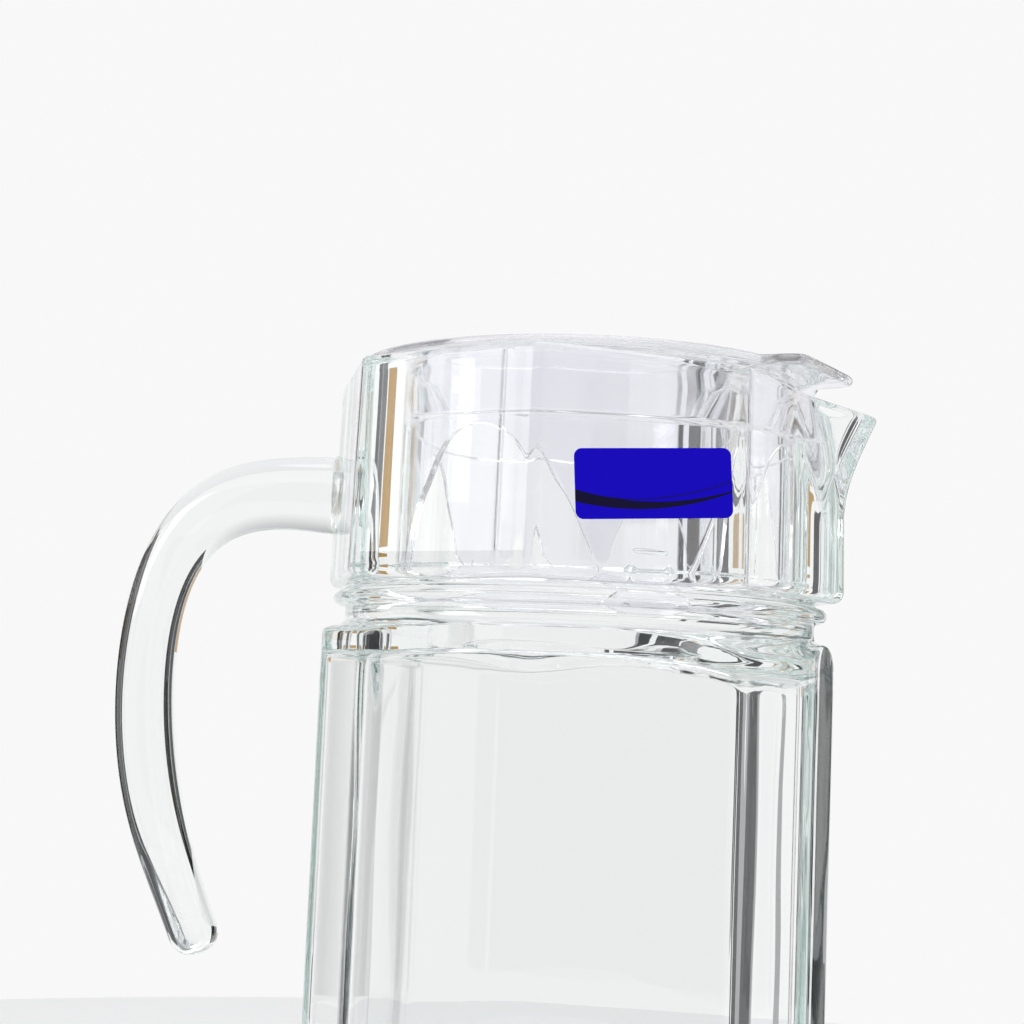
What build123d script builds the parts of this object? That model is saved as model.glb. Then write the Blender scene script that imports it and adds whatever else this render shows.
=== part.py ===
"""Glass water jug with a fused handle, a lift-off plastic lid and a paper label.

Millimetres. +Z is up, +X points to the spout and the handle is on the -X side.
The origin is on the base plane, on the axis of the round mouth.
"""

from build123d import *

import os
from math import atan, cos, degrees, pi

# Heights above the base.
FLOOR_Z = 10.0
SHOULDER_Z = 161.0
NECK_Z = 171.0
COLLAR_Z = 179.0
RIM_Z = 226.0

# Square body with cut corners. It stands a little forward of the mouth axis.
BODY_HALF = 51.6
BODY_FLAT_HALF = 38.0
BODY_FORWARD = 3.4
BODY_EDGE_ROUND = 5.0
BODY_WALL = 4.5
INNER_FLAT_HALF = 36.2
BASE_ROUND = 4.0
SHOULDER_REACH = 15.0
SHOULDER_RISE = 9.0
INNER_SHOULDER_Z = 158.0
INNER_SHOULDER_RADIUS = 41.6
INNER_SHOULDER_REACH = 21.0
INNER_SHOULDER_RISE = 7.0

# Round neck with a bead, and the eight-sided collar above it.
NECK_RADIUS = 51.8
NECK_BORE = 45.6
NECK_BORE_FOOT = 43.2
NECK_BORE_FOOT_Z = 163.0
NECK_BORE_Z = 172.0
BEAD_RADIUS = 54.4
BEAD_Z = 176.2
BEAD_HEIGHT = 3.0
BEAD_ROUND = 1.35
COLLAR_SIDES = 8
COLLAR_FOOT_RADIUS = 58.4
COLLAR_RIM_RADIUS = 57.4
COLLAR_EDGE_ROUND = 1.5
COLLAR_FOOT_ROUND = 2.5
MOUTH_BORE = 47.0
MOUTH_FLOOR_Z = 181.0
MOUTH_CUT_Z = 228.0
RIM_ROUND = 1.2

# Spout: height, nose and half width of its outline, outside and inside.
SPOUT_OUTSIDE = [(201.0, 57.2, 9.0), (213.0, 60.6, 17.0), (RIM_Z, 65.0, 24.0)]
SPOUT_INSIDE = [(198.0, 46.0, 5.0), (211.0, 55.0, 12.0), (RIM_Z + 1.0, 61.0, 19.0)]
SPOUT_ROOT_X = 36.0
SPOUT_ROOT_SPREAD = 6.0
SPOUT_NOSE_SHARP = 1.5
SPOUT_NOSE_ROUND = 3.5
LIP_SLOPE = [(4.0, RIM_Z), (42.0, 223.9), (63.5, 220.0), (71.5, 217.6)]
LIP_CUT_Z = 234.0

# Handle: control points of its outer and inner outline between the root and the round tip.
HANDLE_HALF_WIDTH = 8.0
HANDLE_EDGE_ROUND = 4.5
HANDLE_ROOT_X = -50.0
HANDLE_START_X = -60.0
HANDLE_ROOT_TOP = 209.4
HANDLE_ROOT_BOTTOM = 191.8
HANDLE_OUTSIDE = [(-95.3, 209.4), (-115.6, 206.7), (-112.8, 128.1), (-106.2, 130.9)]
HANDLE_INSIDE = [(-86.9, 195.0), (-112.7, 194.2), (-86.6, 121.3), (-96.0, 132.6)]
HANDLE_TIP_CENTRE = Vector(-86.4, 99.8)
HANDLE_TIP_RADIUS = 5.0
HANDLE_TIP_DIRECTION = Vector(0.42, -0.91).normalized()

# Lid. It is turned a little from the spout, as lids are left.
LID_TURN = -17.0
LID_GAP = 0.2
LID_RADIUS = 51.5
LID_THICKNESS = 2.2
LID_EDGE_ROUND = 0.9
TAB_REACH = 57.8
TAB_WIDTH = 33.0
TAB_CORNER = 10.0
PLUG_RADIUS = 46.4
PLUG_Z = 213.0
LEG_COUNT = 4
LEG_RADIUS = 44.2
LEG_WALL = 1.7
LEG_Z = 173.5
ARCH_FOOT_HALF = 26.5
ARCH_SIDE_HALF = 13.5
ARCH_SIDE_Z = 197.5
ARCH_TOP_HALF = 4.0
ARCH_TOP_Z = 210.5
ARCH_ROUND = 3.5
ARCH_DROP = 5.0
CATCH_PROUD = 0.7
CATCH_ROOT = 0.3
CATCH_FOOT_HALF = 4.9
CATCH_TOP_HALF = 3.7
CATCH_Z = 178.5
CATCH_TOP_Z = 186.0
FOOT_HALF = 7.5
FOOT_HEIGHT = 3.0

# Label on the flat of the collar that faces front and spout.
LABEL_WIDTH = 31.9
LABEL_HEIGHT = 14.0
LABEL_CORNER = 1.6
LABEL_THICKNESS = 0.15
LABEL_FACING = -67.5
LABEL_SHIFT = 2.6
LABEL_Z = 198.9
LABEL_TILT = 3.8

# How far a piece runs into its neighbour before the two are joined, and past any cut.
OVERLAP = 1.0
LID_OVERLAP = 0.5
FAR = 200.0


def cut_square(half, flat_half):
    """Face of a square with its four corners cut off, on the XY plane."""
    corners = [
        (half, flat_half), (flat_half, half), (-flat_half, half), (-half, flat_half),
        (-half, -flat_half), (-flat_half, -half), (flat_half, -half), (half, -flat_half),
    ]
    return make_face(Polyline(*corners, close=True))


def body_prism(half, flat_half, low, high, edge_round):
    """Upright prism of the body's section with rounded upright edges."""
    section = Pos(BODY_FORWARD, 0, low) * cut_square(half, flat_half)
    solid = extrude(section, amount=high - low)
    return fillet(solid.edges().filter_by(Axis.Z), edge_round)


def round_shoulder(top_radius, low_z, reach, rise):
    """Solid of revolution that closes over the body in a quarter ellipse."""
    top_z = low_z + rise
    side = top_radius + reach
    curve = EllipticalCenterArc((top_radius, low_z), reach, rise, arc_size=90)
    straights = Polyline((top_radius, top_z), (0, top_z), (0, 0), (side, 0), (side, low_z))
    outline = make_face([*curve.edges(), *straights.edges()])
    return revolve(Plane.XZ * outline, Axis.Z)


def spout_loft(sections):
    """Loft of pointed outlines, each given by its height, nose and half width."""
    faces = []
    for height, nose, half in sections:
        root = half + SPOUT_ROOT_SPREAD
        corners = [(SPOUT_ROOT_X, -root), (nose + SPOUT_NOSE_SHARP, 0), (SPOUT_ROOT_X, root)]
        face = make_face(Polyline(*corners, close=True))
        tip = face.vertices().sort_by(Axis.X)[-1]
        faces.append(Pos(0, 0, height) * fillet(tip, SPOUT_NOSE_ROUND))
    return loft(Sketch() + faces)


def lip_cutter():
    """Everything above the rim, which slopes down from the mouth's middle to the spout."""
    start, end = LIP_SLOPE[0], LIP_SLOPE[-1]
    corners = [*LIP_SLOPE, (end[0], LIP_CUT_Z), (start[0], LIP_CUT_Z)]
    side = make_face(Plane.XZ * Polyline(*corners, close=True))
    return extrude(side, amount=FAR / 2, both=True)


def make_collar():
    """Eight-sided collar, a little wider at its foot, with rounded edges."""
    foot = Pos(0, 0, COLLAR_Z) * RegularPolygon(COLLAR_FOOT_RADIUS, COLLAR_SIDES)
    rim = Pos(0, 0, RIM_Z) * RegularPolygon(COLLAR_RIM_RADIUS, COLLAR_SIDES)
    ring = loft(Sketch() + [foot, rim], ruled=True)
    upright = [e for e in ring.edges() if e.length > (RIM_Z - COLLAR_Z) * 0.99]
    ring = fillet(upright, COLLAR_EDGE_ROUND)
    ring = fillet(ring.edges().group_by(Axis.Z)[-1], RIM_ROUND)
    return fillet(ring.edges().group_by(Axis.Z)[0], COLLAR_FOOT_ROUND)


def jug_outside():
    prism = body_prism(BODY_HALF, BODY_FLAT_HALF, 0, NECK_Z, BODY_EDGE_ROUND)
    prism = fillet(prism.edges().group_by(Axis.Z)[0], BASE_ROUND)
    body = prism & round_shoulder(NECK_RADIUS, SHOULDER_Z, SHOULDER_REACH, SHOULDER_RISE)
    neck = Pos(0, 0, SHOULDER_Z) * Cylinder(
        NECK_RADIUS, COLLAR_Z + OVERLAP - SHOULDER_Z, align=(Align.CENTER, Align.CENTER, Align.MIN)
    )
    bead = Pos(0, 0, BEAD_Z) * Cylinder(BEAD_RADIUS, BEAD_HEIGHT)
    bead = fillet(bead.edges(), BEAD_ROUND)
    spout = spout_loft(SPOUT_OUTSIDE)
    return body + neck + bead + make_collar() + spout


def jug_inside():
    half = BODY_HALF - BODY_WALL
    prism = body_prism(half, INNER_FLAT_HALF, FLOOR_Z, NECK_Z, BODY_EDGE_ROUND)
    prism = fillet(prism.edges().group_by(Axis.Z)[0], BASE_ROUND)
    room = prism & round_shoulder(
        INNER_SHOULDER_RADIUS, INNER_SHOULDER_Z, INNER_SHOULDER_REACH, INNER_SHOULDER_RISE
    )
    side = [
        (0, NECK_BORE_FOOT_Z), (NECK_BORE_FOOT, NECK_BORE_FOOT_Z), (NECK_BORE, NECK_BORE_Z),
        (NECK_BORE, MOUTH_FLOOR_Z), (MOUTH_BORE, MOUTH_FLOOR_Z), (MOUTH_BORE, MOUTH_CUT_Z),
        (0, MOUTH_CUT_Z),
    ]
    bore = revolve(Plane.XZ * make_face(Polyline(*side, close=True)), Axis.Z)
    return room + bore + spout_loft(SPOUT_INSIDE)


def make_jug_body():
    jug = jug_outside() - jug_inside() - lip_cutter()
    return jug.solids().sort_by(SortBy.VOLUME)[-1]


def make_handle(jug):
    """Open C of glass, fused to the collar at its root and free at its foot."""
    top = (HANDLE_START_X, HANDLE_ROOT_TOP)
    bottom = (HANDLE_START_X, HANDLE_ROOT_BOTTOM)
    down = HANDLE_TIP_DIRECTION * HANDLE_TIP_RADIUS
    outward = down.rotate(Axis.Z, -90)
    outer = Bezier(top, *HANDLE_OUTSIDE, HANDLE_TIP_CENTRE + outward)
    inner = Bezier(bottom, *HANDLE_INSIDE, HANDLE_TIP_CENTRE - outward)
    tip = ThreePointArc(outer @ 1, HANDLE_TIP_CENTRE + down, inner @ 1)
    root = Polyline(top, (HANDLE_ROOT_X, top[1]), (HANDLE_ROOT_X, bottom[1]), bottom)
    outline = make_face([*outer.edges(), *tip.edges(), *inner.edges(), *root.edges()])
    bar = extrude(Plane.XZ * outline, amount=HANDLE_HALF_WIDTH, both=True)
    sides = bar.faces().filter_by(Axis.Y).edges()
    bar = fillet([e for e in sides if e.center().X < HANDLE_START_X], HANDLE_EDGE_ROUND)
    bore = Cylinder(MOUTH_BORE, FAR, align=(Align.CENTER, Align.CENTER, Align.MIN))
    return (bar - jug - bore).solids().sort_by(Axis.X)[0]


def arch_window():
    """Cutter for one opening between two legs, facing -Y."""
    foot = LEG_Z - ARCH_DROP
    slope = (ARCH_FOOT_HALF - ARCH_SIDE_HALF) / (ARCH_SIDE_Z - LEG_Z)
    foot_half = ARCH_FOOT_HALF + slope * (LEG_Z - foot)
    half = [(foot_half, foot), (ARCH_SIDE_HALF, ARCH_SIDE_Z), (ARCH_TOP_HALF, ARCH_TOP_Z)]
    outline = half + [(-x, z) for x, z in reversed(half)]
    face = make_face(Polyline(*outline, close=True))
    upper = [v for v in face.vertices() if v.Y > LEG_Z]
    face = fillet(upper, ARCH_ROUND)
    return extrude(Plane.XZ * face, amount=LID_RADIUS)


def tube(radius, wall, low, high):
    outer = Cylinder(radius, high - low, align=(Align.CENTER, Align.CENTER, Align.MIN))
    inner = Cylinder(radius - wall, high - low, align=(Align.CENTER, Align.CENTER, Align.MIN))
    return Pos(0, 0, low) * (outer - inner)


def leg_catch():
    """Raised catch and foot on the outside of one leg, facing +X."""
    low = [(-CATCH_FOOT_HALF, CATCH_Z), (CATCH_FOOT_HALF, CATCH_Z)]
    high = [(CATCH_TOP_HALF, CATCH_TOP_Z), (-CATCH_TOP_HALF, CATCH_TOP_Z)]
    tongue = extrude(Plane.YZ * make_face(Polyline(*low, *high, close=True)), amount=FAR)
    foot = Pos(0, 0, LEG_Z) * Box(
        FAR, 2 * FOOT_HALF, FOOT_HEIGHT, align=(Align.MIN, Align.CENTER, Align.MIN)
    )
    shell = tube(LEG_RADIUS + CATCH_PROUD, CATCH_PROUD + CATCH_ROOT, LEG_Z, CATCH_TOP_Z)
    return shell & (tongue + foot)


def make_lid():
    """Lid with its tab along +X, then turned to where it sits."""
    low = RIM_Z + LID_GAP
    base = (Align.CENTER, Align.CENTER, Align.MIN)
    disc = Cylinder(LID_RADIUS, LID_THICKNESS, align=base)
    tab = extrude(
        Rectangle(TAB_REACH, TAB_WIDTH, align=(Align.MIN, Align.CENTER)), amount=LID_THICKNESS
    )
    corners = tab.edges().filter_by(Axis.Z).group_by(Axis.X)[-1]
    top = disc + fillet(corners, TAB_CORNER)
    top = Pos(0, 0, low) * fillet(top.faces().filter_by(Axis.Z).edges(), LID_EDGE_ROUND)
    plug = tube(PLUG_RADIUS, PLUG_RADIUS - LEG_RADIUS + LEG_WALL, PLUG_Z, low + LID_OVERLAP)
    legs = tube(LEG_RADIUS, LEG_WALL, LEG_Z, low + LID_OVERLAP)
    lid = top + plug + legs
    step = 360 / LEG_COUNT
    for index in range(LEG_COUNT):
        lid = lid - Rot(0, 0, index * step) * arch_window()
        lid = lid + Rot(0, 0, (index + 0.5) * step) * leg_catch()
    return Rot(0, 0, LID_TURN) * lid


def make_label():
    """Rounded paper rectangle, stuck a little askew on the collar."""
    to_flat = cos(pi / COLLAR_SIDES)
    slope = (COLLAR_FOOT_RADIUS - COLLAR_RIM_RADIUS) * to_flat / (RIM_Z - COLLAR_Z)
    apothem = COLLAR_FOOT_RADIUS * to_flat - slope * (LABEL_Z - COLLAR_Z)
    lean = degrees(atan(slope))
    face = RectangleRounded(LABEL_WIDTH, LABEL_HEIGHT, LABEL_CORNER)
    flat = Plane(
        origin=(0, 0, LABEL_Z),
        x_dir=Vector(1, 0, 0).rotate(Axis.Z, LABEL_FACING + 90),
        z_dir=Vector(1, 0, 0).rotate(Axis.Z, LABEL_FACING),
    )
    place = Pos(LABEL_SHIFT, 0, apothem) * Rot(-lean, 0, 0) * Rot(0, 0, LABEL_TILT)
    return flat * (place * extrude(face, amount=LABEL_THICKNESS))


def main():
    os.makedirs("parts", exist_ok=True)
    jug = make_jug_body()
    parts = {
        "jug_body": jug,
        "handle": make_handle(jug),
        "lid": make_lid(),
        "label": make_label(),
    }
    for name, shape in parts.items():
        export_step(shape, f"parts/{name}.step")
        print(name, "volume", round(shape.volume), "box", shape.bounding_box())


main()
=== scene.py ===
"""Glass water jug with its handle, clear lid and label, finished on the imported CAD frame.

The named sizes are millimetres, as in the CAD, except in the studio. The meshes are metres.
"""
import math

import bmesh
import bpy
from mathutils import Matrix, Vector


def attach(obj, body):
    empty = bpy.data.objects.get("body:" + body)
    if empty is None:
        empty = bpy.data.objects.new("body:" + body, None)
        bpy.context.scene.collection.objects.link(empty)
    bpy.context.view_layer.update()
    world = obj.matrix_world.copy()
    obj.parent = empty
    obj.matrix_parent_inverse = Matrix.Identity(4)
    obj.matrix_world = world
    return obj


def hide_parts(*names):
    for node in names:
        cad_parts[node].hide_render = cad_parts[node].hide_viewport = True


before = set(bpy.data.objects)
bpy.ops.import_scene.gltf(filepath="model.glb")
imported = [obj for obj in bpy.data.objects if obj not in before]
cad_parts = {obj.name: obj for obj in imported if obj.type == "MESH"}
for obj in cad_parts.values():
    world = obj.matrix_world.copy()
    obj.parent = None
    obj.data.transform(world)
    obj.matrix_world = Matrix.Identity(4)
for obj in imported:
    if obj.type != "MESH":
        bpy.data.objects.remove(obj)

bl_info = {
    "name": "Glass Water Jug",
    "version": (1, 0, 0),
    "blender": (4, 5, 0),
    "location": "3D View > Sidebar > Jug",
    "description": "Builds a lidded glass jug piece by piece on its CAD frame",
    "category": "Object",
}

MM = 0.001
TAU = 2 * math.pi
SMOOTH_ANGLE = math.radians(60)
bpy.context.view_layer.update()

# How sharp an edge is where surfaces meet or join: the higher, the sharper.
BODY_EDGE = 40
ROOM_EDGE = 80
SHOULDER_EDGE = 105
ROOM_SHOULDER_EDGE = 70
NECK_EDGE = 80
COLLAR_EDGE = 190
SPOUT_RIDGE = 24
SPOUT_EDGE = 85
MOUTH_EDGE = 70

# Body and shoulder.
BODY_HALF = 51.6
BODY_FLAT_HALF = 38.0
BODY_FORWARD = 3.4
BODY_WALL = 4.0
BASE_ROUND = 4.0
# Underside of the base: share of the way out to its edge and height.
BASE_RINGS = [(0.02, 1.4), (0.3, 1.4), (0.6, 1.3), (0.78, 0.5), (0.88, 0.0), (0.96, 0.0)]
SHOULDER_Z = 159.5
SHOULDER_REACH = 17.0
SHOULDER_RISE = 10.5
SHOULDER_TURN = math.radians(80)
ROOM_FLAT_HALF = 36.3
ROOM_WAVE = 0.07
ROOM_SHOULDER_Z = 157.0
ROOM_SHOULDER_RADIUS = 41.6
ROOM_SHOULDER_REACH = 24.0
ROOM_SHOULDER_RISE = 8.5
ROOM_SHOULDER_TURN = math.radians(84)
FLOOR_Z = 10.0
FLOOR_ROUND = 7.0
FLOOR_CROWN = 0.8

# Neck, bead and collar. The neck starts inside the body, where it is narrower. Rings are radius
# and height.
NECK_RADIUS = 51.8
NECK_START = (146, 168)
NECK_START_INSET = 6
NECK_RINGS = [
    (53.6, 170.1), (52.6, 170.5), (52.0, 171.2), (51.8, 172.2), (51.8, 173.6), (52.1, 174.3),
    (53.0, 174.6), (54.0, 175.0), (54.4, 175.7), (54.5, 176.2), (54.4, 176.7), (54.0, 177.4),
    (53.0, 177.8), (52.2, 178.1), (51.9, 178.5), (52.0, 178.9),
]
COLLAR_Z = 179.0
COLLAR_UNDERSIDE = 52.0
COLLAR_FOOT_ROUND = 2.5
COLLAR_FOOT_RADIUS = 58.4
COLLAR_RIM_RADIUS = 57.4
RIM_Z = 226.0
RIM_ROUND = 1.4
MOUTH_ROUND = 1.2
MOUTH_BORE = 47.0
MOUTH_RINGS = [
    (MOUTH_BORE, 190.0), (MOUTH_BORE, 184.0), (46.9, 182.0), (46.5, 181.2), (45.9, 180.8), (45.6, 180.0),
    (45.6, 176.0), (45.5, 173.5), (45.2, 171.5), (44.8, 169.6), (44.4, 167.9), (44.15, 166.4),
]

# Spout: height, nose and half width of its outline, outside and inside, and its sloping rim.
SPOUT_FOOT_Z = 196.0
SPOUT_OUTSIDE = [(201.0, 57.2, 9.0), (213.0, 60.6, 17.0), (226.0, 65.0, 24.0)]
SPOUT_INSIDE = [(198.0, 46.0, 5.0), (211.0, 55.0, 12.0), (227.0, 61.0, 19.0)]
SPOUT_CHANNEL_START = (197, 202)
SPOUT_ROOT_X = 36.0
SPOUT_ROOT_SPREAD = 6
SPOUT_NOSE_SHARP = 1.5
# Cosine of the angle from +X past which there is no spout.
SPOUT_SIDE = 0.6
RIM_SLOPE = [(-99.0, RIM_Z), (4.0, RIM_Z), (42.0, 223.9), (63.5, 220.0), (80.0, 217.0)]

# Mould seams on the front and back: directions in degrees, how proud and how wide they are.
SEAM_FACINGS = (-97.0, 83.0)
SEAM_PROUD = 0.16
SEAM_WIDTH = 0.4

# Upright lines of points, in degrees: even step, least gap, and offsets across an edge of the
# body, a corner of the collar and a seam. The spout has its own spread of lines.
COLUMN_STEP = 3.0
COLUMN_GAP = 0.22
EDGE_STEPS = (-2.4, -1.6, -0.8, 0, 0.8, 1.6, 2.4)
COLLAR_STEPS = (-1.4, -0.7, 0, 0.7, 1.4)
SEAM_STEPS = (-1, -0.5, -0.25, 0, 0.25, 0.5, 1)
SPOUT_SPREAD = 20

# Handle outlines between its root on the collar and its round tip, in X and Z.
HANDLE_OUTSIDE = [
    (-60.0, 209.4), (-95.3, 209.4), (-115.6, 206.7), (-112.8, 128.1), (-106.2, 130.9), (-90.95, 97.7),
]
HANDLE_INSIDE = [
    (-60.0, 191.8), (-86.9, 195.0), (-112.7, 194.2), (-86.6, 121.3), (-96.0, 132.6), (-81.85, 101.9),
]
HANDLE_ROUNDNESS = 0.92
# Root of the handle: size, depth into the collar's wall, and share of the way out to the start.
HANDLE_WALL = 57.9
HANDLE_FLARE = [(0.02, 0.6, 0.0), (0.7, 0.6, 0.0), (1.06, 0.6, 0.0), (1.05, 0.1, 0.0), (1.0, -0.9, 0.0)]
HANDLE_FLARE += [(1.0, -1.2, 0.35), (1.0, -1.2, 0.7)]
HANDLE_TIP_CENTRE = Vector((-86.4, 0, 99.8))
HANDLE_TIP_RADIUS = 5.0
HANDLE_TIP_DIRECTION = Vector((0.42, 0, -0.91)).normalized()
HANDLE_TIP_FULLNESS = 0.55

# Lid: disc, tab, plug and a skirt cut into four legs. Rings are radius and height, or lift.
LID_Z = 226.2
LID_TOP_Z = 228.4
LID_RADIUS = 51.5
LID_EDGE_ROUND = 0.9
LID_UNDERSIDE_INSET = 2.0
TAB_REACH = 57.8
TAB_HALF = 16.5
TAB_CORNER_EDGE = 16
TAB_ROOT_EDGE = 150
TAB_SIDE = 0.5
PLUG_RADIUS = 46.4
PLUG_Z = 213.0
LEG_RADIUS = 44.2
LEG_BORE = 42.5
LEG_CORNER = 0.5
LEG_Z = 173.5
LEG_TOP_Z = 212.6
LEG_FOOT_RINGS = [(LEG_BORE + 0.1, 0.15), (LEG_BORE + 0.4, 0.0), (LEG_RADIUS - 0.4, 0.0)]
PLUG_RINGS = [
    (LEG_RADIUS + 0.15, PLUG_Z - 0.1), (LEG_RADIUS + 0.5, PLUG_Z), (PLUG_RADIUS - 0.5, PLUG_Z),
    (PLUG_RADIUS - 0.12, PLUG_Z + 0.15), (PLUG_RADIUS, PLUG_Z + 0.6), (PLUG_RADIUS, 219.0),
    (PLUG_RADIUS, LID_Z - 0.6), (PLUG_RADIUS + 0.2, LID_Z - 0.15), (PLUG_RADIUS + 0.7, LID_Z),
]
# The opening between two legs: half width and height, from its top down to the feet.
ARCH = [
    (0.0, 211.0), (3.0, 210.7), (6.0, 209.6), (9.0, 207.2), (11.5, 203.8), (13.6, 199.2), (15.0, 197.6),
    (16.0, 197.0), (26.5, LEG_Z), (60.0, LEG_Z),
]
ARCH_BLUR = (-1.4, -0.7, 0.0, 0.7, 1.4)
CATCH_PROUD = 0.7
CATCH_HALF = 4.9
CATCH_TAPER = 1.2
CATCH_Z = 178.5
CATCH_START = (178.3, 178.8)
CATCH_HEIGHT = 7.5
FOOT_HALF = 7.5
FOOT_TOP_Z = 176.5
STEP_SLOPE = 0.3
LID_COLUMNS = 400

# Label on the flat of the collar between front and spout.
LABEL_CORNER = 1.6
LABEL_THICKNESS = 0.15
LABEL_RIM = 0.1
LABEL_GAP = 0.03
LABEL_FACING = -67.5
LABEL_SHIFT = 2.6
LABEL_Z = 198.9


# ---------------------------------------------------------------- shapes


def between(low, high, count):
    return [low + (high - low) * index / (count - 1) for index in range(count)]


def smooth_step(value, low, high):
    share = min(1.0, max(0.0, (value - low) / (high - low)))
    return share * share * (3 - 2 * share)


def along(points, value):
    """Straight-line interpolation through (position, height) pairs."""
    for (a, low), (b, high) in zip(points, points[1:]):
        if value <= b:
            return low + (high - low) * max(0.0, value - a) / (b - a)
    return points[-1][1]


def meet(radii, sharpness):
    """Smooth least of several radii, which rounds a convex edge."""
    least = min(radii)
    return least * sum((least / r) ** sharpness for r in radii) ** (-1 / sharpness)


def join(radii, sharpness):
    """Smooth greatest of several radii, which rounds a concave edge."""
    most = max(radii)
    return most * sum((r / most) ** sharpness for r in radii) ** (1 / sharpness)


def crossings(angle, planes):
    """Radii at which a ray from the axis crosses the planes in front of it."""
    found = []
    for facing, distance in planes:
        toward = math.cos(angle - facing)
        if toward > 0.15:
            found.append(distance / toward)
    return found


def body_planes(half, flat_half, inset):
    planes = []
    for index in range(8):
        facing = index * TAU / 8
        reach = half if index % 2 == 0 else (half + flat_half) / math.sqrt(2)
        planes.append((facing, reach - inset + BODY_FORWARD * math.cos(facing)))
    return planes


def outside_body(angle, inset=0.0):
    planes = body_planes(BODY_HALF, BODY_FLAT_HALF, inset)
    return meet(crossings(angle, planes), BODY_EDGE)


def inside_body(angle, z, inset=0.0):
    """Cavity of the body. The inner face of pressed glass is never quite flat."""
    planes = body_planes(BODY_HALF - BODY_WALL, ROOM_FLAT_HALF, inset)
    wave = math.sin(3 * angle + z * 0.045) + 0.3 * math.sin(5 * angle - z * 0.09)
    return meet(crossings(angle, planes), ROOM_EDGE) + ROOM_WAVE * wave


def neck_radius(z):
    return NECK_RADIUS - NECK_START_INSET * (1 - smooth_step(z, *NECK_START))


def collar(angle, z, inset=0.0):
    share = (z - COLLAR_Z) / (RIM_Z - COLLAR_Z)
    corner = COLLAR_FOOT_RADIUS + share * (COLLAR_RIM_RADIUS - COLLAR_FOOT_RADIUS)
    apothem = corner * math.cos(TAU / 16) - inset
    planes = [((index + 0.5) * TAU / 8, apothem) for index in range(8)]
    return meet(crossings(angle, planes), COLLAR_EDGE)


def spout(angle, z, sections):
    """Radius of the pointed spout at a height, or 0 behind it."""
    z = min(max(z, sections[0][0]), sections[-1][0])
    nose = along([(s[0], s[1]) for s in sections], z) + SPOUT_NOSE_SHARP
    run = along([(s[0], s[2]) for s in sections], z) + SPOUT_ROOT_SPREAD
    rise = nose - SPOUT_ROOT_X
    slant = math.atan2(rise, run)
    distance = run * nose / math.hypot(run, rise)
    if math.cos(angle) < SPOUT_SIDE:
        return 0.0
    return meet(crossings(angle, [(slant, distance), (-slant, distance)]), SPOUT_RIDGE)


def collar_and_spout(angle, z, inset=0.0):
    wall = collar(angle, z, inset)
    if z < SPOUT_OUTSIDE[0][0] - 1:
        return wall
    return join([wall, spout(angle, z, SPOUT_OUTSIDE) - inset], SPOUT_EDGE)


def mouth_and_spout(angle, z, inset=0.0):
    nose = spout(angle, z, SPOUT_INSIDE)
    grown = join([MOUTH_BORE, nose], MOUTH_EDGE) if nose else MOUTH_BORE
    return MOUTH_BORE + (grown - MOUTH_BORE) * smooth_step(z, *SPOUT_CHANNEL_START) + inset


def sloped(angle, radius, z):
    """Height drawn down evenly towards the sloping rim of the spout."""
    top = along(RIM_SLOPE, radius * math.cos(angle))
    return SPOUT_FOOT_Z + (z - SPOUT_FOOT_Z) * (top - SPOUT_FOOT_Z) / (RIM_Z - SPOUT_FOOT_Z)


def seam(angle):
    """Fine raised mould seam on the front and back."""
    near = 0.0
    for facing in SEAM_FACINGS:
        gap = (math.degrees(angle) - facing + 180) % 360 - 180
        near += SEAM_PROUD * math.exp(-((gap / SEAM_WIDTH) ** 2))
    return near


def polar(angle, radius, z):
    return Vector((radius * math.cos(angle), radius * math.sin(angle), z)) * MM


def jug_columns():
    """Angles of the jug's upright lines of points, closest together at its edges."""
    marks = [index * COLUMN_STEP for index in range(round(360 / COLUMN_STEP))]
    for x, y in ((BODY_HALF, BODY_FLAT_HALF), (BODY_FLAT_HALF, BODY_HALF)):
        for across in (x, -x):
            for along_y in (y, -y):
                corner = math.degrees(math.atan2(along_y, across + BODY_FORWARD))
                marks += [corner + step for step in EDGE_STEPS]
    marks += [index * 45 + step for index in range(8) for step in COLLAR_STEPS]
    marks += [facing + step for facing in SEAM_FACINGS for step in SEAM_STEPS]
    marks += between(-SPOUT_SPREAD, SPOUT_SPREAD, 31)
    kept = []
    for mark in sorted(mark % 360 for mark in marks):
        if not kept or mark - kept[-1] > COLUMN_GAP:
            kept.append(mark)
    return [math.radians(mark) for mark in kept]


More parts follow.
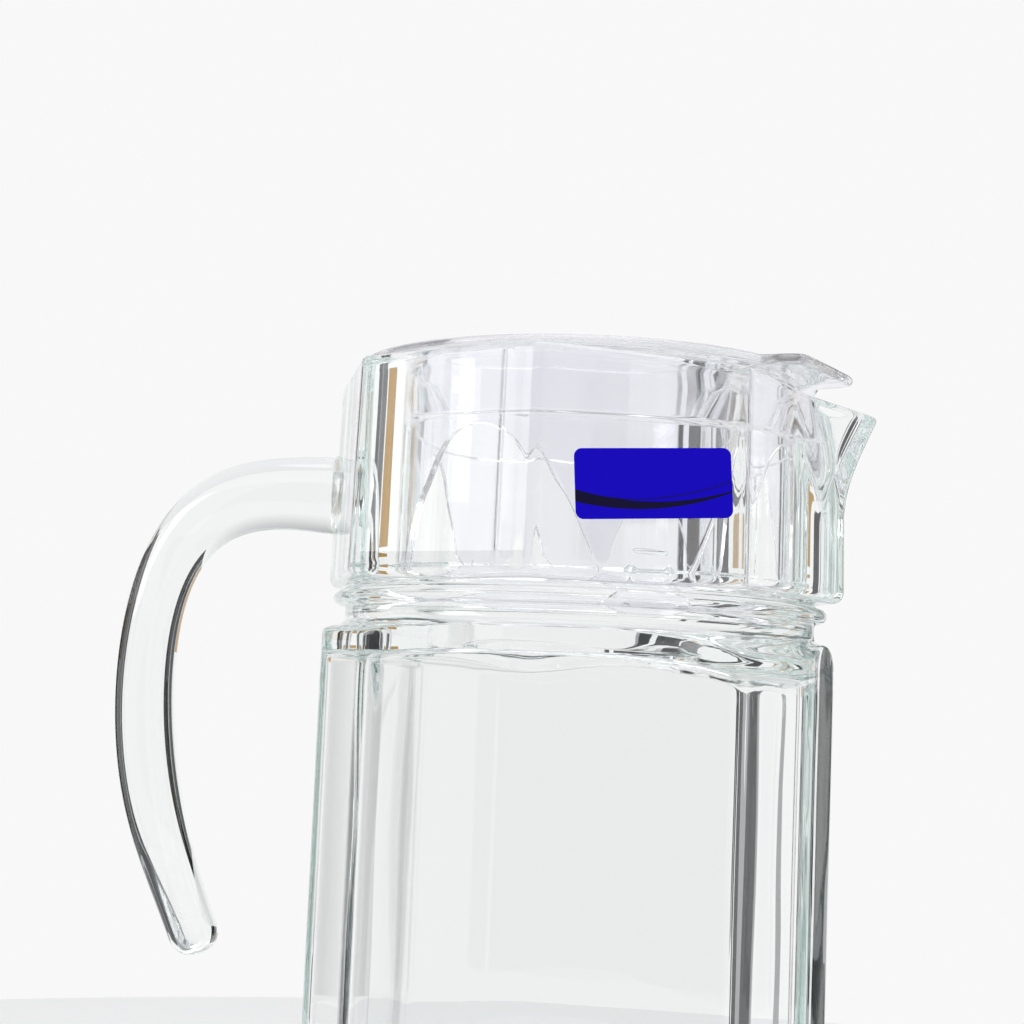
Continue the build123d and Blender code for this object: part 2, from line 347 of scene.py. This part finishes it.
def jug_rings(columns):
    """Rings of the jug's one skin: base, outside, rim, inside and floor."""
    rings = []

    def add(radius, height):
        rings.append([polar(a, radius(a), height(a)) for a in columns])

    for share, z in BASE_RINGS:
        add(lambda a: share * outside_body(a, BASE_ROUND), lambda a: z)
    for turn in between(0, TAU / 4, 7):
        inset = BASE_ROUND * (1 - math.sin(turn))
        add(lambda a: outside_body(a, inset), lambda a: BASE_ROUND * (1 - math.cos(turn)))
    for z in between(BASE_ROUND + 2, SHOULDER_Z - 22, 16):
        add(lambda a: outside_body(a) + seam(a), lambda a: z)
    for z in between(SHOULDER_Z - 20, SHOULDER_Z, 8)[:-1]:
        add(lambda a: join([outside_body(a), neck_radius(z)], NECK_EDGE) + seam(a), lambda a: z)
    for turn in between(0, SHOULDER_TURN, 18):
        reach = NECK_RADIUS + SHOULDER_REACH * math.cos(turn)
        z = SHOULDER_Z + SHOULDER_RISE * math.sin(turn)
        add(
            lambda a: join([meet([outside_body(a), reach], SHOULDER_EDGE), neck_radius(z)], NECK_EDGE),
            lambda a: z,
        )
    for radius, z in NECK_RINGS:
        add(lambda a: radius, lambda a: z)
    for share in (0.3, 0.7, 1.0):
        add(
            lambda a: COLLAR_UNDERSIDE
            + (collar(a, COLLAR_Z, COLLAR_FOOT_ROUND) - COLLAR_UNDERSIDE) * share,
            lambda a: COLLAR_Z,
        )
    for turn in between(0, TAU / 4, 6)[1:]:
        inset = COLLAR_FOOT_ROUND * (1 - math.sin(turn))
        z = COLLAR_Z + COLLAR_FOOT_ROUND * (1 - math.cos(turn))
        add(lambda a: collar(a, z, inset), lambda a: z)
    for z in (185.0, 190.0, 194.0):
        add(lambda a: collar(a, z) + seam(a), lambda a: z)
    for z in between(SPOUT_FOOT_Z, RIM_Z - 1.6, 19):
        add(
            lambda a: collar_and_spout(a, z) + seam(a),
            lambda a: sloped(a, collar_and_spout(a, z), z),
        )
    for turn in between(0, TAU / 4, 5):
        inset, z = RIM_ROUND * (1 - math.cos(turn)), RIM_Z - RIM_ROUND * (1 - math.sin(turn))
        add(
            lambda a: collar_and_spout(a, z, inset),
            lambda a: sloped(a, collar_and_spout(a, z, inset), z),
        )
    for turn in between(TAU / 4, 0, 5):
        inset, z = MOUTH_ROUND * (1 - math.cos(turn)), RIM_Z - MOUTH_ROUND * (1 - math.sin(turn))
        add(
            lambda a: mouth_and_spout(a, z, inset),
            lambda a: sloped(a, mouth_and_spout(a, z, inset), z),
        )
    for z in between(RIM_Z - 2.2, SPOUT_FOOT_Z, 18):
        add(
            lambda a: mouth_and_spout(a, z),
            lambda a: sloped(a, mouth_and_spout(a, z), z),
        )
    for radius, z in MOUTH_RINGS:
        add(lambda a: radius, lambda a: z)
    for turn in between(ROOM_SHOULDER_TURN, 0, 16):
        reach = ROOM_SHOULDER_RADIUS + ROOM_SHOULDER_REACH * math.cos(turn)
        z = ROOM_SHOULDER_Z + ROOM_SHOULDER_RISE * math.sin(turn)
        add(lambda a: meet([inside_body(a, z), reach], ROOM_SHOULDER_EDGE), lambda a: z)
    for z in between(ROOM_SHOULDER_Z - 3, FLOOR_Z + 8, 29):
        add(lambda a: inside_body(a, z), lambda a: z)
    for turn in between(TAU / 4, 0, 7):
        inset = FLOOR_ROUND * (1 - math.sin(turn))
        z = FLOOR_Z + FLOOR_ROUND * (1 - math.cos(turn))
        add(lambda a: inside_body(a, z, inset), lambda a: z)
    for share in (0.8, 0.6, 0.4, 0.2, 0.02):
        add(
            lambda a: share * inside_body(a, FLOOR_Z, FLOOR_ROUND),
            lambda a: FLOOR_Z + FLOOR_CROWN * (1 - share * share),
        )
    return rings


def bezier(points, share):
    """Point at a share of the way along a Bezier curve."""
    order = len(points) - 1
    x = z = 0.0
    for index, (px, pz) in enumerate(points):
        weight = math.comb(order, index) * share**index * (1 - share) ** (order - index)
        x += weight * px
        z += weight * pz
    return Vector((x, 0, z))


def section(centre, outward, reach, half_width, count=56):
    """Rounded oblong across the handle, with its reach along outward."""
    ring = []
    for index in range(count):
        turn = TAU * index / count
        c, s = math.cos(turn), math.sin(turn)
        a = math.copysign(abs(c) ** HANDLE_ROUNDNESS, c) * reach
        b = math.copysign(abs(s) ** HANDLE_ROUNDNESS, s) * half_width
        ring.append(centre + outward * a + Vector((0, b, 0)))
    return ring


def handle_rings(half_width):
    """Rings of the handle from inside the collar's wall to its round tip."""
    start_out, start_in = bezier(HANDLE_OUTSIDE, 0), bezier(HANDLE_INSIDE, 0)
    middle = (start_out + start_in) / 2
    outward = (start_out - start_in).normalized()
    reach = (start_out - start_in).length / 2
    rings = []
    for size, depth, share in HANDLE_FLARE:
        ring = section(middle, outward, reach * size, half_width * size)
        for point in ring:
            wall = -(HANDLE_WALL - abs(point.y) * math.tan(TAU / 16)) + depth
            point.x = wall + (start_out.x - wall) * share
        rings.append(ring)
    for share in between(0, 1, 70):
        outer, inner = bezier(HANDLE_OUTSIDE, share), bezier(HANDLE_INSIDE, share)
        way = (outer - inner).normalized()
        rings.append(section((outer + inner) / 2, way, (outer - inner).length / 2, half_width))
    way = Vector((0, 1, 0)).cross(HANDLE_TIP_DIRECTION)
    for turn in between(0, math.radians(88), 12)[1:]:
        centre = HANDLE_TIP_CENTRE + HANDLE_TIP_DIRECTION * HANDLE_TIP_RADIUS * math.sin(turn)
        narrowed = half_width * math.cos(turn) ** HANDLE_TIP_FULLNESS
        rings.append(section(centre, way, HANDLE_TIP_RADIUS * math.cos(turn), narrowed))
    return [[point * MM for point in ring] for ring in rings]


def lid_outline(angle, inset):
    """Round lid with a broad tab towards +X."""
    disc = LID_RADIUS - inset
    if math.cos(angle) < TAB_SIDE:
        return disc
    sides = [(0.0, TAB_REACH - inset), (TAU / 4, TAB_HALF - inset), (-TAU / 4, TAB_HALF - inset)]
    return join([disc, meet(crossings(angle, sides), TAB_CORNER_EDGE)], TAB_ROOT_EDGE)


def leg_end(angle):
    """Height of the lower edge of the lid's skirt, which is cut into four legs."""
    turn = (angle + TAU / 8) % (TAU / 4) - TAU / 8
    across = abs(LEG_RADIUS * math.sin(turn))
    near = [along(ARCH, max(0.0, across + shift)) for shift in ARCH_BLUR]
    return sum(near) / len(near)


def leg_height(angle, share):
    """Height on the outside of the skirt, at a share of the way up from its lower edge."""
    return leg_end(angle) + (LEG_TOP_Z - leg_end(angle)) * share


def within(value, edge):
    """1 below an edge and 0 above it, with a short slope between."""
    return 1 - smooth_step(value, edge - STEP_SLOPE, edge + STEP_SLOPE)


def leg_relief(angle, z):
    """How far the catch and the foot stand proud of a leg."""
    turn = angle % (TAU / 4) - TAU / 8
    across = abs(LEG_RADIUS * math.sin(turn))
    tongue = CATCH_HALF - CATCH_TAPER * (z - CATCH_Z) / CATCH_HEIGHT
    catch = within(across, tongue) * smooth_step(z, *CATCH_START) * within(z, CATCH_Z + CATCH_HEIGHT)
    foot = within(across, FOOT_HALF) * within(z, FOOT_TOP_Z)
    return CATCH_PROUD * max(catch, foot)


def lid_rings(columns, lid_turn):
    """Rings of the lid's one skin: underside, inside of the legs, outside, edge and top."""
    rings = []

    def add(radius, height):
        rings.append([polar(a + lid_turn, radius(a), height(a)) for a in columns])

    for share in (0.02, 0.35, 0.7, 0.93):
        add(lambda a: LEG_BORE * share, lambda a: LID_Z)
    add(lambda a: LEG_BORE - LEG_CORNER, lambda a: LID_Z)
    add(lambda a: LEG_BORE, lambda a: LID_Z - LEG_CORNER)
    for share in between(0.03, 0.985, 24):
        add(lambda a: LEG_BORE, lambda a: LID_Z + (leg_end(a) - LID_Z) * share)
    for radius, lift in LEG_FOOT_RINGS:
        add(lambda a: radius, lambda a: leg_end(a) + lift)
    for share in between(0.008, 1, 64):
        add(lambda a: LEG_RADIUS + leg_relief(a, leg_height(a, share)), lambda a: leg_height(a, share))
    for radius, z in PLUG_RINGS:
        add(lambda a: radius, lambda a: z)
    add(lambda a: lid_outline(a, LID_UNDERSIDE_INSET), lambda a: LID_Z)
    for turn in between(0, TAU / 2, 13):
        inset = LID_EDGE_ROUND * (1 - math.sin(turn))
        mid = (LID_Z + LID_TOP_Z) / 2
        half = (LID_TOP_Z - LID_Z) / 2
        add(lambda a: lid_outline(a, inset), lambda a: mid - half * math.cos(turn))
    for share in (0.93, 0.6, 0.3, 0.02):
        add(lambda a: LID_RADIUS * share, lambda a: LID_TOP_Z)
    return rings


# ---------------------------------------------------------------- modelling


def select_nothing():
    if bpy.context.mode != "OBJECT":
        bpy.ops.object.mode_set(mode="OBJECT")
    bpy.ops.object.select_all(action="DESELECT")


def named(name):
    piece = bpy.context.object
    piece.name = piece.data.name = name
    return piece


def loft(name, rings):
    """Closed skin that starts as a circle and is extruded ring by ring, with each end drawn to a point."""
    select_nothing()
    first = rings[0]
    centre = sum(first, Vector()) / len(first)
    bpy.ops.mesh.primitive_circle_add(
        vertices=len(first), radius=(first[0] - centre).length, location=centre
    )
    piece = named(name)
    bpy.ops.object.transform_apply(location=True, rotation=True, scale=True)
    bpy.ops.object.mode_set(mode="EDIT")
    bpy.ops.mesh.select_mode(type="VERT")
    bpy.ops.mesh.select_all(action="SELECT")
    skin = bmesh.from_edit_mesh(piece.data)
    column = skin.verts.layers.int.new("column")
    for vertex in skin.verts:
        vertex[column] = vertex.index
    for ring in rings:
        if ring is not first:
            bpy.ops.mesh.extrude_region_move()
        skin = bmesh.from_edit_mesh(piece.data)
        column = skin.verts.layers.int["column"]
        for vertex in skin.verts:
            if vertex.select:
                vertex.co = ring[vertex[column]]
    bmesh.update_edit_mesh(piece.data)
    bpy.ops.mesh.merge(type="CENTER")
    bpy.ops.mesh.select_all(action="DESELECT")
    bpy.ops.mesh.select_non_manifold()
    bpy.ops.mesh.merge(type="CENTER")
    bpy.ops.mesh.select_all(action="SELECT")
    bpy.ops.mesh.normals_make_consistent(inside=False)
    bpy.ops.object.mode_set(mode="OBJECT")
    piece.data.attributes.remove(piece.data.attributes["column"])
    bpy.ops.object.shade_smooth_by_angle(angle=SMOOTH_ANGLE)
    return piece


def make_jug():
    return loft("jug_glass", jug_rings(jug_columns()))


def make_handle(shape):
    return loft("handle_glass", handle_rings(shape.handle_width / MM / 2))


def make_lid(shape):
    columns = [TAU * index / LID_COLUMNS for index in range(LID_COLUMNS)]
    return loft("clear_lid", lid_rings(columns, shape.lid_turn))


def make_label(shape):
    """Rounded plate laid a little askew on its flat of the collar."""
    select_nothing()
    bpy.ops.mesh.primitive_plane_add(size=1)
    piece = named("blue_label")
    bpy.ops.transform.resize(value=(shape.label_width, shape.label_height, 1))
    bpy.ops.object.transform_apply(location=True, rotation=True, scale=True)
    bpy.ops.object.mode_set(mode="EDIT")
    bpy.ops.mesh.select_all(action="SELECT")
    bpy.ops.mesh.bevel(
        affect="VERTICES", offset_type="OFFSET", offset=LABEL_CORNER * MM, segments=8
    )
    bpy.ops.mesh.select_all(action="SELECT")
    bpy.ops.mesh.extrude_region_move(TRANSFORM_OT_translate={"value": (0, 0, LABEL_THICKNESS * MM)})
    bpy.ops.mesh.inset(thickness=LABEL_RIM * MM)
    bpy.ops.mesh.select_all(action="SELECT")
    bpy.ops.mesh.normals_make_consistent(inside=False)
    bpy.ops.object.mode_set(mode="OBJECT")
    slope = (COLLAR_FOOT_RADIUS - COLLAR_RIM_RADIUS) * math.cos(TAU / 16) / (RIM_Z - COLLAR_Z)
    apothem = COLLAR_FOOT_RADIUS * math.cos(TAU / 16) - slope * (LABEL_Z - COLLAR_Z)
    facing = math.radians(LABEL_FACING)
    outward = Vector((math.cos(facing), math.sin(facing), 0))
    across = Vector((-math.sin(facing), math.cos(facing), 0))
    flat = Matrix((across, (0, 0, 1), outward)).transposed().to_4x4()
    flat.translation = outward * (apothem + LABEL_GAP) * MM + Vector((0, 0, LABEL_Z * MM))
    lie = Matrix.Rotation(-math.atan(slope), 4, "X") @ Matrix.Rotation(shape.label_tilt, 4, "Z")
    piece.matrix_world = flat @ Matrix.Translation((LABEL_SHIFT * MM, 0, 0)) @ lie
    bpy.ops.object.transform_apply(location=True, rotation=True, scale=True)
    return piece


# ---------------------------------------------------------------- materials


class Value:
    """A socket in shader maths. Operators on it add Math nodes."""

    def __init__(self, maker, socket):
        self.maker = maker
        self.socket = socket

    def maths(self, operation, *others):
        inputs = {index: value for index, value in enumerate((self, *others))}
        return self.maker.node("ShaderNodeMath", {"operation": operation}, inputs)

    def __add__(self, other):
        return self.maths("ADD", other)

    __radd__ = __add__

    def __mul__(self, other):
        return self.maths("MULTIPLY", other)

    __rmul__ = __mul__

    def __sub__(self, other):
        return self.maths("SUBTRACT", other)

    def __rsub__(self, other):
        return (self * -1) + other

    def __lt__(self, other):
        return self.maths("LESS_THAN", other)

    def __abs__(self):
        return self.maths("ABSOLUTE")


class Material:
    """A material with a Principled surface and one method that adds any other node."""

    def __init__(self, name):
        self.made = bpy.data.materials.new(name)
        self.made.use_nodes = True
        self.nodes = self.made.node_tree.nodes
        self.links = self.made.node_tree.links
        self.surface = self.nodes["Principled BSDF"]
        self.output = self.nodes["Material Output"]

    def node(self, kind, settings=None, inputs=None, output=0):
        made = self.nodes.new(kind)
        for key, value in (settings or {}).items():
            setattr(made, key, value)
        for key, value in (inputs or {}).items():
            self.put(made.inputs[key], value)
        return Value(self, made.outputs[output])

    def put(self, socket, value):
        if isinstance(value, Value):
            self.links.new(value.socket, socket)
        else:
            socket.default_value = value

    def set(self, **values):
        for key, value in values.items():
            self.put(self.surface.inputs[key.replace("_", " ")], value)

    def place(self):
        return self.node("ShaderNodeTexCoord", output="Object")


def ripple(material, height, size, distance):
    """Slow unevenness that a pressed or moulded surface keeps, as a normal."""
    noise = material.node(
        "ShaderNodeTexNoise",
        inputs={"Vector": material.place(), "Scale": size, "Detail": 1.0, "Roughness": 0.4},
    )
    return material.node(
        "ShaderNodeBump", inputs={"Height": noise, "Strength": height, "Distance": distance}
    )


def glass_material(settings):
    glass = Material("clear_glass")
    glass.set(
        Base_Color=(*settings.glass_colour, 1), Roughness=0.0, IOR=1.5, Transmission_Weight=1.0,
        Normal=ripple(glass, 0.08, 22.0, 0.004),
    )
    depth = glass.node(
        "ShaderNodeVolumeAbsorption",
        inputs={"Color": (*settings.depth_colour, 1), "Density": settings.depth_density},
    )
    glass.links.new(depth.socket, glass.output.inputs["Volume"])
    return glass.made


def lid_material(settings):
    plastic = Material("clear_plastic")
    plastic.set(
        Base_Color=(*settings.lid_colour, 1), Roughness=0.03, IOR=1.46, Transmission_Weight=1.0
    )
    return plastic.made


def label_material(settings):
    """Blue print with a dark sweep that tapers to the right."""
    paint = Material("blue_print")
    flat = paint.node("ShaderNodeTexCoord", output="UV")
    across = paint.node("ShaderNodeSeparateXYZ", inputs={0: flat}, output="X")
    up = Value(paint, across.socket.node.outputs["Y"])
    line = 0.335 - across * 0.62 + across * across * 0.66
    sweep = abs(up - line) < (1 - across) * 0.075 + 0.012
    fine = abs(up - line - across * 0.09 - 0.05) < 0.007
    finer = abs(up - line - across * 0.16 - 0.02) < 0.005
    dark = sweep.maths("MAXIMUM", fine * 0.8).maths("MAXIMUM", finer * 0.6)
    blue = (*settings.label_colour, 1)
    inked = paint.node(
        "ShaderNodeMix", {"data_type": "RGBA"}, {0: dark, 6: blue, 7: (0.006, 0.004, 0.03, 1)}, 2
    )
    paint.set(Base_Color=inked, Roughness=0.4, Specular_IOR_Level=0.06)
    return paint.made


def plain_material(name, colour, roughness):
    plain = Material(name)
    plain.set(Base_Color=(*colour, 1), Roughness=roughness)
    return plain.made


def glow_material(name, colour, strength):
    glow = Material(name)
    glow.set(Base_Color=(0, 0, 0, 1), Emission_Color=(*colour, 1), Emission_Strength=strength)
    glow.set(Roughness=1.0, IOR=1.0)
    return glow.made


def finish_piece(piece, material, body, slot, *nodes):
    piece.data.materials.clear()
    piece.data.materials.append(material)
    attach(piece, body)
    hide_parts(*nodes)


# ---------------------------------------------------------------- add-on


class JugShape(bpy.types.PropertyGroup):
    handle_width: bpy.props.FloatProperty(
        name="Handle Width", description="Width of the handle across its flat sides",
        subtype="DISTANCE", unit="LENGTH", default=16.0 * MM, min=4 * MM,
    )
    lid_turn: bpy.props.FloatProperty(
        name="Lid Turn", description="How far the lid's tab is turned from the spout",
        subtype="ANGLE", unit="ROTATION", default=math.radians(-17.0),
    )
    label_width: bpy.props.FloatProperty(
        name="Label Width", description="Width of the printed label",
        subtype="DISTANCE", unit="LENGTH", default=31.9 * MM, min=4 * MM,
    )
    label_height: bpy.props.FloatProperty(
        name="Label Height", description="Height of the printed label",
        subtype="DISTANCE", unit="LENGTH", default=14.0 * MM, min=4 * MM,
    )
    label_tilt: bpy.props.FloatProperty(
        name="Label Tilt", description="How askew the label is stuck on",
        subtype="ANGLE", unit="ROTATION", default=math.radians(3.8),
    )


class JugFinish(bpy.types.PropertyGroup):
    glass_colour: bpy.props.FloatVectorProperty(
        name="Glass Colour", description="Tint where light crosses the glass's surface",
        subtype="COLOR", size=3, min=0, max=1, default=(0.985, 0.99, 0.988),
    )
    depth_colour: bpy.props.FloatVectorProperty(
        name="Depth Colour", description="Tint that thick glass takes on",
        subtype="COLOR", size=3, min=0, max=1, default=(0.8, 0.92, 0.89),
    )
    depth_density: bpy.props.FloatProperty(
        name="Depth Density", description="How soon thick glass takes on its tint, per metre",
        default=6.0, min=0,
    )
    lid_colour: bpy.props.FloatVectorProperty(
        name="Lid Colour", description="Tint of the clear plastic",
        subtype="COLOR", size=3, min=0, max=1, default=(0.955, 0.95, 0.985),
    )
    label_colour: bpy.props.FloatVectorProperty(
        name="Label Colour", description="Ground colour of the printed label",
        subtype="COLOR", size=3, min=0, max=1, default=(0.006, 0.0, 0.48),
    )


class JugStage(bpy.types.PropertyGroup):
    table_colour: bpy.props.FloatVectorProperty(
        name="Table Colour", description="Colour of the round table top",
        subtype="COLOR", size=3, min=0, max=1, default=(0.93, 0.93, 0.935),
    )
    table_radius: bpy.props.FloatProperty(
        name="Table Radius", description="Reach of the round table top",
        subtype="DISTANCE", unit="LENGTH", default=0.6, min=0.2,
    )
    surround: bpy.props.FloatProperty(
        name="Surround", description="Brightness of the white surround", default=0.94, min=0,
    )
    softbox: bpy.props.FloatProperty(
        name="Softbox Power", description="Power of the large soft light overhead",
        default=6.0, min=0, unit="POWER",
    )
    focal_length: bpy.props.FloatProperty(
        name="Focal Length", description="Camera lens in millimetres", default=67.68, min=10,
    )


class JUG_OT_glass(bpy.types.Operator):
    """Build the jug's glass body, from its base to its spout"""

    bl_idname = "jug.glass"
    bl_label = "Glass Body"

    def execute(self, context):
        glass = glass_material(context.scene.jug_finish)
        finish_piece(make_jug(), glass, "jug", "jug_glass", "jug_body")
        return {"FINISHED"}


class JUG_OT_handle(bpy.types.Operator):
    """Build the open glass handle that grows from the collar"""

    bl_idname = "jug.handle"
    bl_label = "Handle"

    def execute(self, context):
        glass = bpy.data.materials.get("clear_glass") or glass_material(context.scene.jug_finish)
        finish_piece(make_handle(context.scene.jug_shape), glass, "jug", "jug_glass", "handle")
        return {"FINISHED"}


class JUG_OT_lid(bpy.types.Operator):
    """Build the clear lid with its tab, plug and four legs"""

    bl_idname = "jug.lid"
    bl_label = "Lid"

    def execute(self, context):
        plastic = lid_material(context.scene.jug_finish)
        finish_piece(make_lid(context.scene.jug_shape), plastic, "lid", "lid_plastic", "lid")
        return {"FINISHED"}


class JUG_OT_label(bpy.types.Operator):
    """Build the blue label on the collar"""

    bl_idname = "jug.label"
    bl_label = "Label"

    def execute(self, context):
        paint = label_material(context.scene.jug_finish)
        finish_piece(make_label(context.scene.jug_shape), paint, "jug", "label_print", "label")
        return {"FINISHED"}


class JUG_OT_stage(bpy.types.Operator):
    """Set the table, surround, lights, flags and camera"""

    bl_idname = "jug.stage"
    bl_label = "Studio"

    def execute(self, context):
        settings = context.scene.jug_stage
        make_table(settings)
        for flag in FLAGS:
            make_flag(*flag)
        make_lights(settings)
        make_surround(settings)
        make_light_paths()
        make_camera(settings)
        return {"FINISHED"}


class JUG_PT_panel(bpy.types.Panel):
    bl_label = "Glass Water Jug"
    bl_idname = "JUG_PT_panel"
    bl_space_type = "VIEW_3D"
    bl_region_type = "UI"
    bl_category = "Jug"

    def draw(self, context):
        scene = context.scene
        for group in (scene.jug_shape, scene.jug_finish, scene.jug_stage):
            for name in group.__annotations__:
                self.layout.prop(group, name)
        for operator in OPERATORS:
            self.layout.operator(operator.bl_idname)


# ---------------------------------------------------------------- studio

# Cards round the jug that only its glass and plastic show. For each: direction in degrees, distance
# in metres, width in degrees, lower edge in metres and colour.
DARK = (0.012, 0.014, 0.016)
GREY = (0.12, 0.125, 0.13)
ROOM = (0.34, 0.35, 0.36)
AMBER = (0.44, 0.26, 0.075)
FLAGS = [
    (22.0, 1.6, 12.0, -0.4, DARK),
    (68.0, 1.6, 18.0, -0.4, DARK),
    (80.19, 0.507, 2.37, 0.0, DARK),
    (81.72, 0.505, 0.74, 0.0, ROOM),
    (142.5, 1.6, 9.0, -0.4, DARK),
    (152.0, 1.6, 9.0, -0.4, GREY),
    (262.0, 1.6, 74.0, -0.4, ROOM),
    (206.0, 1.6, 18.0, -0.4, DARK),
    (46.0, 1.6, 10.0, 0.22, AMBER),
    (165.0, 1.6, 14.0, 0.22, AMBER),
]
FLAG_TOP = 0.9
TABLE_THICKNESS = 0.03
TABLE_EDGE_ROUND = 0.002
TABLE_ROUGHNESS = 0.55
# Soft lights: name, place, share of the softbox power and size.
LIGHTS = [
    ("softbox_over", (0.1, -0.2, 1.3), 1.0, 1.0),
    ("softbox_left", (-1.1, -0.9, 0.6), 0.6, 0.6),
]
LIGHT_AIM = Vector((0, 0, 0.12))
# The surround is white up to this height of its dome, then falls off to grey overhead.
WHITE_TOP = 0.45
OVERHEAD = (0.42, 0.43, 0.44, 1)
BOUNCES = 64
CAMERA_PLACE = Vector((0.0771, -0.4220, 0.154))
CAMERA_HEADING = math.radians(12.46)
CAMERA_TILT = math.radians(5.77)
CAMERA_ROLL = math.radians(2.44)


def make_table(settings):
    select_nothing()
    bpy.ops.mesh.primitive_cylinder_add(
        vertices=256, radius=settings.table_radius, depth=TABLE_THICKNESS,
        location=(0, 0, -TABLE_THICKNESS / 2),
    )
    table = named("table")
    bpy.ops.object.transform_apply(location=True, rotation=True, scale=True)
    bevel = table.modifiers.new("edge", "BEVEL")
    bevel.width = TABLE_EDGE_ROUND
    bevel.segments = 3
    bpy.ops.object.modifier_apply(modifier="edge")
    bpy.ops.object.shade_smooth_by_angle(angle=math.radians(30))
    table.data.materials.append(plain_material("table_white", settings.table_colour, TABLE_ROUGHNESS))


def make_flag(facing, distance, width, low, colour):
    """Upright card that faces the jug and shows only in the glass."""
    select_nothing()
    turn = math.radians(facing)
    half = distance * math.tan(math.radians(width / 2))
    bpy.ops.mesh.primitive_plane_add(
        size=1,
        location=(distance * math.cos(turn), distance * math.sin(turn), (low + FLAG_TOP) / 2),
        rotation=(TAU / 4, 0, turn + TAU / 4),
    )
    flag = named(f"flag_{round(facing * 100)}")
    flag.scale = (2 * half, FLAG_TOP - low, 1)
    bpy.ops.object.transform_apply(location=True, rotation=True, scale=True)
    flag.data.materials.append(glow_material(f"flag_cloth_{round(facing * 100)}", colour, 1.0))
    flag.visible_camera = False
    flag.visible_diffuse = False
    flag.visible_shadow = False


def make_lights(settings):
    select_nothing()
    for name, place, power, size in LIGHTS:
        bpy.ops.object.light_add(type="AREA", location=place)
        lamp = named(name)
        lamp.data.energy = settings.softbox * power
        lamp.data.size = size
        lamp.rotation_euler = (LIGHT_AIM - Vector(place)).to_track_quat("-Z", "Y").to_euler()


def make_surround(settings):
    world = bpy.data.worlds.new("white_surround")
    world.use_nodes = True
    nodes, links = world.node_tree.nodes, world.node_tree.links
    facing = nodes.new("ShaderNodeTexCoord")
    height = nodes.new("ShaderNodeSeparateXYZ")
    shade = nodes.new("ShaderNodeValToRGB")
    shade.color_ramp.elements[0].position = WHITE_TOP
    shade.color_ramp.elements[0].color = (1, 1, 1, 1)
    shade.color_ramp.elements[1].color = OVERHEAD
    links.new(facing.outputs["Generated"], height.inputs[0])
    links.new(height.outputs["Z"], shade.inputs[0])
    links.new(shade.outputs[0], nodes["Background"].inputs["Color"])
    nodes["Background"].inputs["Strength"].default_value = settings.surround
    bpy.context.scene.world = world
    bpy.context.scene.view_settings.view_transform = "Standard"


def make_light_paths():
    """Light may turn often enough in the clear pieces to come out of them again."""
    paths = bpy.context.scene.cycles
    for name in ("max_bounces", "transmission_bounces", "glossy_bounces"):
        setattr(paths, name, BOUNCES)


def make_camera(settings):
    bpy.ops.object.camera_add()
    camera = named("camera")
    camera.data.lens = settings.focal_length
    camera.data.sensor_width = 36.0
    camera.data.clip_start = 0.01
    turn = Matrix.Rotation(CAMERA_HEADING, 4, "Z")
    tilt = Matrix.Rotation(TAU / 4 + CAMERA_TILT, 4, "X")
    roll = Matrix.Rotation(CAMERA_ROLL, 4, "Z")
    camera.matrix_world = Matrix.Translation(CAMERA_PLACE) @ turn @ tilt @ roll
    bpy.context.scene.camera = camera


OPERATORS = (JUG_OT_glass, JUG_OT_handle, JUG_OT_lid, JUG_OT_label, JUG_OT_stage)
CLASSES = (JugShape, JugFinish, JugStage, *OPERATORS, JUG_PT_panel)


def register():
    for item in CLASSES:
        bpy.utils.register_class(item)
    bpy.types.Scene.jug_shape = bpy.props.PointerProperty(type=JugShape)
    bpy.types.Scene.jug_finish = bpy.props.PointerProperty(type=JugFinish)
    bpy.types.Scene.jug_stage = bpy.props.PointerProperty(type=JugStage)


def unregister():
    del bpy.types.Scene.jug_stage
    del bpy.types.Scene.jug_finish
    del bpy.types.Scene.jug_shape
    for item in reversed(CLASSES):
        bpy.utils.unregister_class(item)


def main():
    register()
    bpy.ops.jug.glass()
    bpy.ops.jug.handle()
    bpy.ops.jug.lid()
    bpy.ops.jug.label()
    bpy.ops.jug.stage()


if __name__ == "__main__":
    main()
